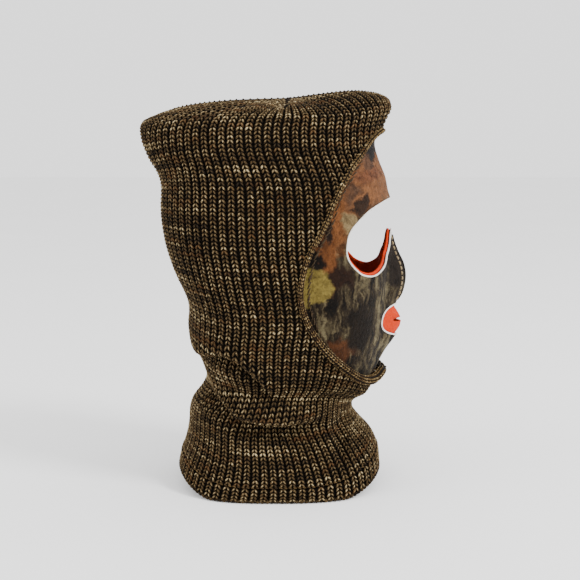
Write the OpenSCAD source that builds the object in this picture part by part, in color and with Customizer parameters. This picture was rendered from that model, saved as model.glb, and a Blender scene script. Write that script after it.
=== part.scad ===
// Pull-on face mask for field use: a rib-knit hood with a sewn-in fleece face.
// It stands on its neck hem. +Z is up and the face looks along -Y. The origin is
// under the middle of the mask, on the surface that the hem stands on.

/* [Overall size] */
// Height from the hem to the top of the crown
mask_h = 358; // [335:1:390]
// Length from the nose to the back corner of the crown
mask_l = 242; // [225:1:260]
// Width across the neck hem
mask_w = 173; // [160:1:190]

/* [Fabric] */
// Thickness of the rib knit
knit_t = 4; // [3:0.5:5]
// Thickness of the camo fleece
fleece_t = 2; // [1.5:0.5:3]
// Thickness of the orange lining fleece
lining_t = 1.6; // [1:0.2:2]
// Clearance left between two layers of cloth
layer_gap = 0.3; // [0.2:0.1:0.5]

/* [Face opening] */
// Radius of the rolled knit edge beside the face
edge_roll_r = 3; // [2.5:0.5:4]
// Radius of the rolled knit edge under the chin
chin_roll_r = 5; // [4:0.5:6]
// How far the fleece runs on under the knit, as a share of the opening
tuck = 0.06; // [0.04:0.01:0.08]

/* [Eye and mouth openings] */
// Half the width of the goggle-shaped eye opening
eye_half_w = 61.5; // [59:0.5:63]
// Height of the top edge of the eye opening
eye_top_z = 260.5; // [258:0.5:264]
// Height of the lowest edge of the eye opening
eye_low_z = 195.5; // [192:0.5:198]
// Height of the top of the nose tongue between the eyes
tongue_z = 233.5; // [230:0.5:238]
// How far the lining stands into the eye opening at its lower and outer edges
eye_lining_lip = 2; // [1.5:0.5:5]
// Half the width of the mouth opening
mouth_half_w = 22; // [18:1:26]
// Half the height of the mouth opening
mouth_half_h = 13.5; // [10:0.5:15]
// Height of the middle of the mouth opening
mouth_z = 150; // [147:1:152]
// Half the height of the slit between the lining's lips
slit_half_h = 5; // [4:0.5:7]
// Width of the pale cut-edge binding
rim_w = 2; // [1.5:0.5:3]

/* [Seams and hem] */
// Distance of each topstitch row from the nose seam
topstitch_x = 5; // [4:0.5:7]
// Radius of the seam thread
thread_r = 0.8; // [0.6:0.1:1]
// Height of the turned hem, as a number of station rows
hem_rows = 0.7; // [0.5:0.1:0.9]
// How far below the crown's outer face a seam's turned edges reach
seam_drop = 11; // [8:1:14]
// Thickness of a crown seam's turned edges
seam_t = 4; // [3:0.5:5]

/* [Hidden] */
// Reference sizes that the station table below is written for
ref_h = 358;
ref_l = 242;
ref_w = 173;
size = [mask_w / ref_w, mask_l / ref_l, mask_h / ref_h];

// Stations from the hem up to the shoulder of the crown, in reference millimetres.
// Heights at the back, side and front; reach to the back and to the front; half
// width; squareness of the section; how far the face stands out there, and half the
// width of that relief.
stations = [
    [20, -1, 17, 86, 97.5, 86, 2.8, 0, 25],
    [32.5, 13, 35, 83.5, 96, 83, 2.6, 0, 25],
    [44.5, 28.5, 47.5, 80, 89.5, 77, 2.3, 0, 25],
    [56.5, 44.5, 56.5, 78, 81, 71, 2.2, 0, 25],
    [67, 57.5, 65, 77.5, 74, 67.5, 2.2, 0, 25],
    [77, 71, 70, 74.5, 73, 70.5, 2.2, 0, 25],
    [87, 81, 73.5, 66.5, 73, 68, 2.2, 0, 25],
    [100, 91, 77, 61, 76, 64, 2.2, 0, 25],
    [114.5, 100, 81, 66, 85, 70, 2.2, 0, 25],
    [122.5, 109.5, 88, 71.5, 90, 75, 2.2, 0, 25],
    [131.5, 119.5, 97, 76, 95, 76, 2.2, 0.5, 25],
    [140.5, 128.5, 109.5, 77.5, 98.5, 77, 2.2, 3, 25],
    [150, 138.5, 121.5, 78, 101.5, 77.5, 2.2, 6.6, 25],
    [159, 149, 133.5, 77, 104.5, 78, 2.2, 11.8, 25],
    [169, 160, 148, 78, 106, 78.5, 2.2, 13.3, 24],
    [179, 172, 162, 82, 107, 79, 2.2, 9, 22],
    [188, 182, 174, 86.5, 108, 79.5, 2.2, 14.3, 20],
    [198.5, 194.5, 188, 91, 108.5, 80, 2.2, 16.5, 20],
    [208.5, 205.5, 200.5, 94.5, 109, 80, 2.2, 14.3, 18],
    [218.5, 216.5, 212.5, 97.5, 109, 80, 2.2, 8.8, 16],
    [228.5, 227.5, 224.5, 99.5, 109.5, 80, 2.2, 4.3, 15],
    [241, 240, 239, 101.3, 110, 79.5, 2.2, 1.8, 20],
    [255, 257, 259, 102, 109.5, 78.5, 2.2, 1.9, 30],
    [265, 267, 269, 101.5, 107.5, 77.5, 2.2, 1.2, 30],
    [275.5, 278.5, 281.5, 101.7, 105, 76.3, 2.2, 1, 30],
    [285.5, 291.5, 295.5, 105.3, 99.5, 74.5, 2.1, 0.8, 30],
    [295.5, 304.5, 309.5, 111.8, 96, 72.5, 2, 0.4, 30],
    [306.5, 315.5, 320, 116.8, 98.5, 70, 1.9, 0, 30],
    [315.5, 325, 330, 119.5, 101.5, 67, 1.85, 0, 30],
    [324, 334, 341, 120.5, 107.5, 62.5, 1.8, 0, 30]
];
BACK_Z = 0;
SIDE_Z = 1;
FRONT_Z = 2;
BACK_REACH = 3;
FRONT_REACH = 4;
HALF_W = 5;
SQUARENESS = 6;
RELIEF = 7;
RELIEF_W = 8;
top_row = len(stations) - 1;

// Crown seam: a long arm from the back corner over the top to the front corner, and
// two short arms out to the sides, all meeting at one point.
back_arm = [[0, 112, 332], [0, 82, 343.5], [0, 40, 349], [0, -15, 351]];
front_arm = [[0, -103, 351], [0, -92, 355.5], [0, -72, 357.5], [0, -45, 355], [0, -15, 351]];
side_arm = [[0, -15, 351], [26, -14, 348.5], [48, -12, 342]];
// Share of each quarter of the rim that is sewn into the long arm
back_share = 0.7;
front_share = 0.64;
// Rise of the cloth between the shoulder of the crown and the seams
crown_puff = 7;
front_puff = 6;
crown_start = 0.3;
// How near to the seam line the crown's cloth comes
crown_end = 0.985;
// Where the seam thread runs, as a share of the opening
thread_reach = 0.88;
// How much thicker the turned hem is on each face, and the row it stops at
hem_extra = 0.8;
hem_top = hem_rows - 0.02;
// Gap between the rolled edge and the fleece under it
roll_lift = 0.8;
// Middle of the face opening to its nearest edge
face_radius = 78;
// Depth each way that the face opening is cut through the knit
face_clear = 14;

// Edge of the face opening from the chin up to the forehead, as forward reach and
// height on the side of the mask.
face_edge = [
    [94.5, 98.5], [86, 95.5], [73, 100], [57, 114.5], [38, 135.5], [24, 160], [20, 184],
    [26, 213.5], [40, 240], [52, 267], [66, 293.5], [83, 312.5], [93, 322], [99, 325]
];

// Mesh densities
ring_n = 48;
row_n = 34;
crown_n = 5;
edge_n = 26;
loop_n = 11;
outline_steps = 3;

function lerp(a, b, t) = a + (b - a) * t;
function bell(t) = abs(t) >= 1 ? 0 : pow(cos(90 * t), 2);

// Smooth curve through the rows of a list, at row number s
function cubic(p, q, r, w, t) =
    0.5 * (2 * q + (r - p) * t + (2 * p - 5 * q + 4 * r - w) * t * t
        + (3 * q - p - 3 * r + w) * t * t * t);
function at(list, s) =
    let (last = len(list) - 1, i = max(0, min(floor(s), last - 1)))
    cubic(list[max(i - 1, 0)], list[i], list[i + 1], list[min(i + 2, last)], s - i);
function at_loop(list, s) =
    let (n = len(list), i = floor(s))
    cubic(list[(i + n - 1) % n], list[i % n], list[(i + 1) % n], list[(i + 2) % n], s - i);

// A point on station row s at angle a, where 0 is the back, 90 the side and 180 the
// front, at a given depth under the outer face of the knit
function on_row(r, a, depth) =
    let (
        c = abs(cos(a)),
        in_front = cos(a) < 0,
        along = pow(c, 2 / r[SQUARENESS]),
        across = pow(abs(sin(a)), 2 / r[SQUARENESS]),
        end_z = in_front ? r[FRONT_Z] : r[BACK_Z]
    )
    [
        sign(sin(a)) * across * (r[HALF_W] - depth),
        in_front ? -along * (r[FRONT_REACH] - depth) : along * (r[BACK_REACH] - depth),
        lerp(r[SIDE_Z], end_z, pow(c, 3))
    ];
function wall(s, a, depth) = on_row(at(stations, s), a, depth);

// The seam point that the cloth at angle a runs up to
function seam_point(a) =
    let (
        from_back = cos(a) >= 0,
        q = abs(asin(sin(a))) / 90,
        share = from_back ? back_share : front_share,
        arm = from_back ? back_arm : front_arm,
        p = q < share
            ? at(arm, q / share * (len(arm) - 1))
            : at(side_arm, (q - share) / (1 - share) * (len(side_arm) - 1))
    )
    [sign(sin(a)) * p[0], p[1], p[2]];

// The crown closes from the shoulder ring, at t = 0, to the seams, at t = 1
function crown(t, a, depth) =
    let (
        start = wall(top_row, a, depth),
        finish = seam_point(a) - [0, 0, depth],
        puff = crown_puff + front_puff * (cos(a) < 0 ? -cos(a) : 0) * abs(sin(2 * a)),
        knee = lerp(start, finish, crown_start) + [0, 0, puff - depth * crown_start]
    )
    (1 - t) * (1 - t) * start + 2 * t * (1 - t) * knee + t * t * finish;

// A point on the face at the same angle and row, with the nose and mouth relief
function face(s, a, depth) =
    let (r = at(stations, s), p = on_row(r, a, depth))
    p - [0, r[RELIEF] * bell(p[0] / r[RELIEF_W]), 0];

// The row and angle of a point on the side of the mask, from its reach and height
function angle_for(r, reach) = 180 - acos(pow(min(1, reach / r[FRONT_REACH]), r[SQUARENESS] / 2));
function height_for(s, reach) =
    let (r = at(stations, s))
    on_row(r, angle_for(r, reach), 0)[2];
function row_for(reach, z, lo, hi, steps) =
    let (mid = (lo + hi) / 2)
    steps == 0 ? mid
        : height_for(mid, reach) < z ? row_for(reach, z, mid, hi, steps - 1)
        : row_for(reach, z, lo, mid, steps - 1);
function place_for(p) =
    let (s = row_for(p[0], p[1], 8, top_row, 14))
    [s, angle_for(at(stations, s), p[0])];

// The edge of the face opening as rows and angles: up one side and down the other
edge_side = [for (k = [0 : edge_n]) place_for(at(face_edge, k / edge_n * (len(face_edge) - 1)))];
edge_places = concat(
    [for (k = [0 : edge_n]) k == 0 || k == edge_n ? [edge_side[k][0], 180] : edge_side[k]],
    [for (k = [edge_n - 1 : -1 : 1]) [edge_side[k][0], 360 - edge_side[k][1]]]
);
face_centre = [17.5, 180];

// A skin through loops of equal length. A ring closes on its own first loop; an open
// run has its first and last loops as flat ends.
module skin(loops, ring = true) {
    n = len(loops[0]);
    m = len(loops);
    walls = [
        for (j = [0 : m - (ring ? 1 : 2)], i = [0 : n - 1])
            let (
                k = (j + 1) % m,
                h = (i + 1) % n,
                a = j * n + i,
                b = j * n + h,
                c = k * n + h,
                d = k * n + i
            )
            each [[a, b, c], [a, c, d]]
    ];
    ends = ring ? [] : [[for (i = [n - 1 : -1 : 0]) i], [for (i = [0 : n - 1]) (m - 1) * n + i]];
    polyhedron(points = [for (l = loops) each l], faces = concat(walls, ends));
}

// Rings round the mask: on a station row, and on the crown
function wall_loop(s, depth) = [for (i = [0 : ring_n - 1]) wall(s, 360 * i / ring_n, depth)];
function crown_loop(t, depth) = [for (i = [0 : ring_n - 1]) crown(t, 360 * i / ring_n, depth)];

// A patch of cloth over the face, between two depths. reach is 1 at the edge of the
// face opening; relief is 1 for the face's own shape and 0 for the plain head.
function patch_point(i, r, depth, relief) =
    let (
        s = lerp(face_centre[0], edge_places[i][0], r),
        a = lerp(face_centre[1], edge_places[i][1], r)
    )
    relief == 1 ? face(s, a, depth) : wall(s, a, depth);
module patch(outer, inner, reach, relief, loops = loop_n) {
    n = len(edge_places);
    points = [
        for (depth = [outer, inner])
            each concat(
                [patch_point(0, 0, depth, relief)],
                [for (j = [1 : loops], i = [0 : n - 1]) patch_point(i, reach * j / loops, depth, relief)]
            )
    ];
    half = 1 + loops * n;
    rim = half - n;
    faces = concat(
        [for (i = [0 : n - 1]) [0, 1 + (i + 1) % n, 1 + i]],
        [for (i = [0 : n - 1]) [half, half + 1 + i, half + 1 + (i + 1) % n]],
        [
            for (j = [0 : loops - 2], i = [0 : n - 1])
                let (
                    a = 1 + j * n + i,
                    b = 1 + j * n + (i + 1) % n,
                    c = b + n,
                    d = a + n
                )
                each [[a, b, c], [a, c, d], [half + a, half + d, half + c], [half + a, half + c, half + b]]
        ],
        [
            for (i = [0 : n - 1])
                let (a = rim + i, b = rim + (i + 1) % n)
                each [[a, b, half + b], [a, half + b, half + a]]
        ]
    );
    polyhedron(points = points, faces = faces);
}

// A round cord that follows a closed path of centres, each with its own radius
function unit(v) = v / norm(v);
function cord_loop(path, radii, i, sides) =
    let (
        n = len(path),
        along = unit(path[(i + 1) % n] - path[(i + n - 1) % n]),
        side = unit(cross(along, [0, 1, 0.2])),
        up = cross(side, along)
    )
    [for (k = [0 : sides - 1]) path[i] + radii[i] * (cos(360 * k / sides) * side + sin(360 * k / sides) * up)];
module cord(path, radii, sides = 6) {
    skin([for (i = [0 : len(path) - 1]) cord_loop(path, radii, i, sides)]);
}

// A flat shape in width and height, pushed through the front of the mask
module through_face() {
    rotate([90, 0, 0]) linear_extrude(200) children();
}

// The goggle outline: up the middle, over the brow, round the cheek, back to the tongue
eye_side = [
    [0, tongue_z],
    [7, tongue_z - 3],
    [10.5, tongue_z - 13],
    [14, eye_low_z + 18],
    [22, eye_low_z + 9],
    [33, eye_low_z + 3],
    [43, eye_low_z],
    [52, eye_low_z + 2],
    [0.93 * eye_half_w, eye_low_z + 8],
    [0.985 * eye_half_w, eye_low_z + 16],
    [eye_half_w, eye_low_z + 26],
    [0.98 * eye_half_w, eye_low_z + 38],
    [0.91 * eye_half_w, eye_top_z - 18],
    [0.78 * eye_half_w, eye_top_z - 9],
    [36, eye_top_z - 3.5],
    [20, eye_top_z - 0.5],
    [0, eye_top_z]
];
eye_loop = concat(
    eye_side,
    [for (i = [len(eye_side) - 2 : -1 : 1]) [-eye_side[i][0], eye_side[i][1]]]
);
module eye_shape() {
    n = len(eye_loop) * outline_steps;
    polygon([for (i = [0 : n - 1]) at_loop(eye_loop, i / outline_steps)]);
}
// The lining's own eye opening, a little smaller below and at both sides
module eye_lining_shape() {
    intersection() {
        eye_shape();
        translate([0, eye_lining_lip]) eye_shape();
        union() {
            translate([eye_lining_lip, 0]) eye_shape();
            translate([-eye_lining_lip, 0]) eye_shape();
        }
    }
}
module mouth_shape() {
    translate([0, mouth_z]) scale([mouth_half_w, mouth_half_h]) circle(1, $fn = 40);
}
module slit_shape() {
    translate([0, mouth_z]) scale([0.8 * mouth_half_w, slit_half_h]) circle(1, $fn = 32);
}

// Depths of the cloth layers under the outer face of the knit
panel_top = knit_t + layer_gap;
panel_bottom = panel_top + fleece_t;
lining_top = panel_bottom + layer_gap;
lining_bottom = lining_top + lining_t;

// Rolled knit edge, just inside the cut edge of the knit and thicker under the chin
edge_count = len(edge_places);
chin_share = [for (i = [0 : edge_count - 1]) pow(max(0, cos(180 * min(i, edge_count - i) / edge_n)), 2)];
roll_radii = [for (c = chin_share) lerp(edge_roll_r, chin_roll_r, c)];
roll_path = [
    for (i = [0 : edge_count - 1])
        patch_point(i, 1 - (roll_radii[i] + layer_gap) / face_radius, panel_top - roll_radii[i] - roll_lift, 1)
];
// Turned edges of a crown seam: a flat strip that hangs inside, under the seam line
module seam_strip(path, across) {
    skin([
        for (p = path)
            let (side = across * seam_t / 2, low = [0, 0, -seam_drop], high = [0, 0, -knit_t - layer_gap])
            [p - side + low, p - side + high, p + side + high, p + side + low]
    ], ring = false);
}
long_path = [
    for (k = [0 : 18]) at(back_arm, k / 18 * (len(back_arm) - 1)),
    for (k = [23 : -1 : 0]) at(front_arm, k / 24 * (len(front_arm) - 1))
];
side_path = [
    for (k = [0 : 8])
        let (p = at(side_arm, k / 8 * (len(side_arm) - 1)))
        k == 0 ? p + [seam_t / 2 + 0.1, 0, 0] : p
];

// One row of topstitches beside the nose seam
stitch_len = 3;
stitch_pitch = 4.6;
nose_low_z = mouth_z + mouth_half_h + 4;
nose_high_z = tongue_z - 6;
module stitch_row(side) {
    count = floor((nose_high_z - nose_low_z) / stitch_pitch);
    intersection() {
        patch(panel_top - thread_r, panel_top - 0.02, 0.9, 1);
        through_face()
            for (k = [0 : count - 1])
                translate([side * topstitch_x, nose_low_z + (k + 0.5) * stitch_pitch])
                    square([2 * thread_r, stitch_len], center = true);
    }
}

module hood_knit() {
    color("#41351f")
    difference() {
        skin(concat(
            [for (j = [0 : row_n]) wall_loop(lerp(hem_rows, top_row, j / row_n), 0)],
            [for (j = [1 : crown_n]) crown_loop(j / crown_n * crown_end, 0)],
            [for (j = [crown_n : -1 : 1]) crown_loop(j / crown_n * crown_end, knit_t)],
            [for (j = [row_n : -1 : 0]) wall_loop(lerp(hem_rows, top_row, j / row_n), knit_t)]
        ));
        patch(-face_clear, face_clear, 1, 0, 4);
    }
}

module crown_seam_long() {
    color("#2c2417")
    seam_strip(long_path, [1, 0, 0]);
}

module crown_seam_cross() {
    color("#2c2417")
    for (side = [0, 1])
        mirror([side, 0, 0]) seam_strip(side_path, [0, 1, 0]);
}

module face_edge_roll() {
    color("#5b4c30")
    cord(roll_path, roll_radii, 8);
}

module face_panel() {
    color("#6b4a31")
    difference() {
        patch(panel_top, panel_bottom, 1 + tuck, 1);
        through_face() offset(rim_w) eye_shape();
        through_face() offset(rim_w) mouth_shape();
    }
}

module face_lining() {
    color("#f0621e")
    difference() {
        patch(lining_top, lining_bottom, 1 + tuck, 1);
        through_face() eye_lining_shape();
        through_face() slit_shape();
    }
}

// Pale binding that wraps a cut edge of the fleece
module cut_edge() {
    intersection() {
        patch(panel_top - 0.5, panel_bottom, 0.97, 1);
        through_face()
            difference() {
                offset(rim_w) children();
                children();
            }
    }
}
module eye_rim() {
    color("#e8e2d8")
    cut_edge() eye_shape();
}
module mouth_rim() {
    color("#e8e2d8")
    cut_edge() mouth_shape();
}

module nose_dart_seam() {
    color("#35291e")
    intersection() {
        patch(panel_top - 1.2, panel_top - 0.02, 0.9, 1);
        through_face()
            translate([-1.2, nose_low_z])
                square([2.4, nose_high_z - nose_low_z]);
    }
}

module nose_topstitch_left() {
    color("#c8b79a")
    stitch_row(-1);
}

module nose_topstitch_right() {
    color("#c8b79a")
    stitch_row(1);
}

module panel_seam_thread() {
    color("#8a7650")
    cord(
        [
            for (i = [0 : edge_count - 1])
                patch_point(i, thread_reach, panel_top - thread_r - 0.1, 1)
        ],
        [for (i = [0 : edge_count - 1]) thread_r]
    );
}

module neck_hem() {
    color("#3a2f1c")
    difference() {
        skin([
            wall_loop(0.08, -hem_extra),
            wall_loop(hem_top, -hem_extra),
            wall_loop(hem_top, knit_t + hem_extra),
            wall_loop(0.08, knit_t + hem_extra),
            wall_loop(0, knit_t),
            wall_loop(0, 0)
        ]);
        translate([-ref_w, -ref_l, -10]) cube([2 * ref_w, 2 * ref_l, 10]);
    }
}

module hem_stitch() {
    color("#8a7650")
    cord(
        wall_loop(hem_rows + 0.08, -thread_r - 0.15),
        [for (i = [0 : ring_n - 1]) thread_r]
    );
}

scale(size) {
    hood_knit();
    crown_seam_long();
    crown_seam_cross();
    face_edge_roll();
    face_panel();
    face_lining();
    eye_rim();
    mouth_rim();
    nose_dart_seam();
    nose_topstitch_left();
    nose_topstitch_right();
    panel_seam_thread();
    neck_hem();
    hem_stitch();
}
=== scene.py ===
"""Looks of the camo face mask: rib-knit hood, printed fleece face panel, orange lining, seams and hem.

Lengths are in millimetres while the cloth is worked out, and turn into metres when a mesh is made.
"""

import math

import bpy
import numpy as np
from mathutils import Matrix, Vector
from mathutils.geometry import delaunay_2d_cdt


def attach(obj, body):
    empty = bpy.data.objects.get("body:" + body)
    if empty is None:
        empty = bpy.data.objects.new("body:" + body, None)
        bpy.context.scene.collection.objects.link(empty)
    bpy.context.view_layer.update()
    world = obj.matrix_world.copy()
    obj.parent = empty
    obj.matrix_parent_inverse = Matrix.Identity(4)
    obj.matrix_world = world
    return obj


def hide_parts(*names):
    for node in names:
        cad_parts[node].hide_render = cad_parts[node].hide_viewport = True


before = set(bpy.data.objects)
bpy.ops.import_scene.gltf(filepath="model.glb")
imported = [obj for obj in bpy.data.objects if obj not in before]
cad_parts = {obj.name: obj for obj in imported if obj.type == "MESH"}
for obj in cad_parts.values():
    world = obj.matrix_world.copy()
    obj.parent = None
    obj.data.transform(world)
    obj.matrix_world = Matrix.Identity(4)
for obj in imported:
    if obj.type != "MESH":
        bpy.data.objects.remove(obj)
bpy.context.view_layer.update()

MM = 0.001
RNG = np.random.default_rng(7)

# ---------------------------------------------------------------- camera

# The camera stands at the wearer's right, a little above, and looks at the middle of the mask.
CAMERA_DISTANCE = 1.113
CAMERA_ELEVATION = math.radians(8.0)
CAMERA_TARGET = Vector((0.0, -0.0155, 0.1763))


def make_camera():
    away = Vector((-math.cos(CAMERA_ELEVATION), 0.0, math.sin(CAMERA_ELEVATION)))
    camera = bpy.data.objects.new("camera", bpy.data.cameras.new("camera"))
    bpy.context.scene.collection.objects.link(camera)
    camera.data.lens = 75
    camera.data.sensor_width = 36
    camera.location = CAMERA_TARGET + away * CAMERA_DISTANCE
    camera.rotation_mode = "QUATERNION"
    camera.rotation_quaternion = (-away).to_track_quat("-Z", "Y")
    bpy.context.scene.camera = camera


make_camera()

# ---------------------------------------------------------------- shape of the mask

# Stations from the hem to the shoulder of the crown, the same as the CAD's: heights at the back, side and
# front; reach to the back and front; half width; squareness; relief of the face and its half width
STATIONS = np.array([
    [20, -1, 17, 86, 97.5, 86, 2.8, 0, 25],
    [32.5, 13, 35, 83.5, 96, 83, 2.6, 0, 25],
    [44.5, 28.5, 47.5, 80, 89.5, 77, 2.3, 0, 25],
    [56.5, 44.5, 56.5, 78, 81, 71, 2.2, 0, 25],
    [67, 57.5, 65, 77.5, 74, 67.5, 2.2, 0, 25],
    [77, 71, 70, 74.5, 73, 70.5, 2.2, 0, 25],
    [87, 81, 73.5, 66.5, 73, 68, 2.2, 0, 25],
    [100, 91, 77, 61, 76, 64, 2.2, 0, 25],
    [114.5, 100, 81, 66, 85, 70, 2.2, 0, 25],
    [122.5, 109.5, 88, 71.5, 90, 75, 2.2, 0, 25],
    [131.5, 119.5, 97, 76, 95, 76, 2.2, 0.5, 25],
    [140.5, 128.5, 109.5, 77.5, 98.5, 77, 2.2, 3, 25],
    [150, 138.5, 121.5, 78, 101.5, 77.5, 2.2, 6.6, 25],
    [159, 149, 133.5, 77, 104.5, 78, 2.2, 11.8, 25],
    [169, 160, 148, 78, 106, 78.5, 2.2, 13.3, 24],
    [179, 172, 162, 82, 107, 79, 2.2, 9, 22],
    [188, 182, 174, 86.5, 108, 79.5, 2.2, 14.3, 20],
    [198.5, 194.5, 188, 91, 108.5, 80, 2.2, 16.5, 20],
    [208.5, 205.5, 200.5, 94.5, 109, 80, 2.2, 14.3, 18],
    [218.5, 216.5, 212.5, 97.5, 109, 80, 2.2, 8.8, 16],
    [228.5, 227.5, 224.5, 99.5, 109.5, 80, 2.2, 4.3, 15],
    [241, 240, 239, 101.3, 110, 79.5, 2.2, 1.8, 20],
    [255, 257, 259, 102, 109.5, 78.5, 2.2, 1.9, 30],
    [265, 267, 269, 101.5, 107.5, 77.5, 2.2, 1.2, 30],
    [275.5, 278.5, 281.5, 101.7, 105, 76.3, 2.2, 1, 30],
    [285.5, 291.5, 295.5, 105.3, 99.5, 74.5, 2.1, 0.8, 30],
    [295.5, 304.5, 309.5, 111.8, 96, 72.5, 2, 0.4, 30],
    [306.5, 315.5, 320, 116.8, 98.5, 70, 1.9, 0, 30],
    [315.5, 325, 330, 119.5, 101.5, 67, 1.85, 0, 30],
    [324, 334, 341, 120.5, 107.5, 62.5, 1.8, 0, 30],
])
BACK_Z, SIDE_Z, FRONT_Z, BACK_REACH, FRONT_REACH, HALF_W, SQUARENESS, RELIEF, RELIEF_W = range(9)
TOP_ROW = len(STATIONS) - 1

# The crown's seams: arms to the back corner, to the front corner and to each side
BACK_ARM = np.array([[0, 112, 332], [0, 82, 343.5], [0, 40, 349], [0, -15, 351]], float)
FRONT_ARM = np.array([[0, -103, 351], [0, -92, 355.5], [0, -72, 357.5], [0, -45, 355], [0, -15, 351]], float)
SIDE_ARM = np.array([[0, -15, 351], [26, -14, 348.5], [48, -12, 342]], float)
# Shares of each quarter of the rim that are sewn into the long arms
BACK_SHARE, FRONT_SHARE = 0.7, 0.64
# Rise of the cloth between the shoulder and the seams, where it starts and how near to the seams it comes
CROWN_PUFF, FRONT_PUFF, CROWN_START, CROWN_END = 7, 6, 0.3, 0.985

# Edge of the face opening from the chin to the forehead: reach towards the front, and height
FACE_EDGE = np.array([
    [94.5, 98.5], [86, 95.5], [73, 100], [57, 114.5], [38, 135.5], [24, 160], [20, 184],
    [26, 213.5], [40, 240], [52, 267], [66, 293.5], [83, 312.5], [93, 322], [99, 325],
])
# Middle of the opening as a row and an angle, its least radius, and the lowest row that it can reach
FACE_CENTRE = np.array([17.5, 180.0])
FACE_RADIUS = 78
LOWEST_FACE_ROW = 8.0
# About how many millimetres a row and a degree are there
ROW_MM, DEGREE_MM = 10, 1.5

# Layers of cloth under the outer face of the knit
KNIT_T = 4
PANEL_TOP, PANEL_BOTTOM = 4.3, 6.3
LINING_TOP, LINING_BOTTOM = 6.6, 8.2
# How far out the fleece runs under the knit, as a share of the opening
TUCK = 1.06

# Eye and mouth openings, as width and height on the front of the mask
EYE_HALF_W, EYE_TOP_Z, EYE_LOW_Z, TONGUE_Z = 61.5, 260.5, 195.5, 233.5
EYE_LINING_LIP = 2
MOUTH_HALF_W, MOUTH_HALF_H, MOUTH_Z = 22, 13.5, 150
SLIT_HALF_W, SLIT_HALF_H = 11, 1.8
RIM_W = 2


def unit(v):
    """Vectors brought to length 1."""
    return v / np.maximum(np.linalg.norm(v, axis=-1, keepdims=True), 1e-9)


def spline(rows, s):
    """Smooth curve through the rows of an array, at row numbers s."""
    rows, s = np.asarray(rows, float), np.asarray(s, float)
    last = len(rows) - 1
    i = np.clip(np.floor(s).astype(int), 0, last - 1)
    t = (s - i)[..., None]
    p, q, r, w = rows[np.maximum(i - 1, 0)], rows[i], rows[i + 1], rows[np.minimum(i + 2, last)]
    return 0.5 * (2 * q + (r - p) * t + (2 * p - 5 * q + 4 * r - w) * t**2 + (3 * q - p - 3 * r + w) * t**3)


def on_row(row, a, depth):
    """A point on a station row at angle a in degrees, where 0 is the back and 180 the front."""
    sine, cosine = np.sin(np.radians(a)), np.cos(np.radians(a))
    side, ends, front = np.abs(sine), np.abs(cosine), cosine < 0
    along, across = ends ** (2 / row[..., SQUARENESS]), side ** (2 / row[..., SQUARENESS])
    x = np.sign(sine) * across * (row[..., HALF_W] - depth)
    y = np.where(front, -along * (row[..., FRONT_REACH] - depth), along * (row[..., BACK_REACH] - depth))
    end_z = np.where(front, row[..., FRONT_Z], row[..., BACK_Z])
    return np.stack([x, y, row[..., SIDE_Z] + (end_z - row[..., SIDE_Z]) * ends**3], -1)


def wall(s, a, depth=0.0):
    s, a = np.broadcast_arrays(np.asarray(s, float), np.asarray(a, float))
    return on_row(spline(STATIONS, s), a, depth)


def bell(t):
    return np.where(np.abs(t) >= 1, 0.0, np.cos(np.pi / 2 * np.clip(t, -1, 1)) ** 2)


def face(s, a, depth, puckered=0.0):
    """A point on the face with the nose and mouth relief; puckered pushes the lips of the mouth forward."""
    s, a = np.broadcast_arrays(np.asarray(s, float), np.asarray(a, float))
    row = spline(STATIONS, s)
    p = on_row(row, a, depth)
    p[..., 1] -= row[..., RELIEF] * bell(p[..., 0] / row[..., RELIEF_W])
    lips = np.exp(-(((p[..., 2] - MOUTH_Z) / 14) ** 4)) * bell(p[..., 0] / 30)
    p[..., 1] -= puckered * lips
    return p


def seam_point(a):
    """The seam point that the cloth at angle a runs up to."""
    sine, cosine = np.sin(np.radians(a)), np.cos(np.radians(a))
    q = np.abs(np.degrees(np.arcsin(np.clip(sine, -1, 1)))) / 90
    share = np.where(cosine >= 0, BACK_SHARE, FRONT_SHARE)
    inner = np.clip(q / share, 0, 1)
    back = spline(BACK_ARM, inner * (len(BACK_ARM) - 1))
    front = spline(FRONT_ARM, inner * (len(FRONT_ARM) - 1))
    side = spline(SIDE_ARM, np.clip((q - share) / (1 - share), 0, 1) * (len(SIDE_ARM) - 1))
    p = np.where((q < share)[..., None], np.where((cosine >= 0)[..., None], back, front), side)
    p[..., 0] *= np.sign(sine)
    return p


def crown(t, a):
    """The crown closes from the shoulder, at t = 0, to the seams, at t = 1."""
    start, finish = wall(TOP_ROW, a), seam_point(a)
    forward = np.maximum(0, -np.cos(np.radians(a)))
    puff = CROWN_PUFF + FRONT_PUFF * forward * np.abs(np.sin(np.radians(2 * a)))
    knee = start + (finish - start) * CROWN_START
    knee[..., 2] += puff
    t = np.asarray(t, float)[..., None]
    return (1 - t) ** 2 * start + 2 * t * (1 - t) * knee + t**2 * finish


def angle_for(row, reach):
    share = np.minimum(1, reach / row[..., FRONT_REACH])
    return 180 - np.degrees(np.arccos(share ** (row[..., SQUARENESS] / 2)))


def angle_at_x(row, x, depth):
    share = np.minimum(1, np.abs(x) / (row[..., HALF_W] - depth))
    return 180 - np.sign(x) * np.degrees(np.arcsin(share ** (row[..., SQUARENESS] / 2)))


def bisect_rows(height, z, steps=22):
    """The row number at which height(row number) is z."""
    low, high = np.full(z.shape, LOWEST_FACE_ROW), np.full(z.shape, float(TOP_ROW))
    for _ in range(steps):
        middle = (low + high) / 2
        below = height(middle) < z
        low, high = np.where(below, middle, low), np.where(below, high, middle)
    return (low + high) / 2


def place_on_side(reach, z):
    """Row and angle of points given by how far forward and how high they are."""
    def height(s):
        row = spline(STATIONS, s)
        return on_row(row, angle_for(row, reach), 0)[..., 2]
    s = bisect_rows(height, z)
    return np.stack([s, angle_for(spline(STATIONS, s), reach)], -1)


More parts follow.
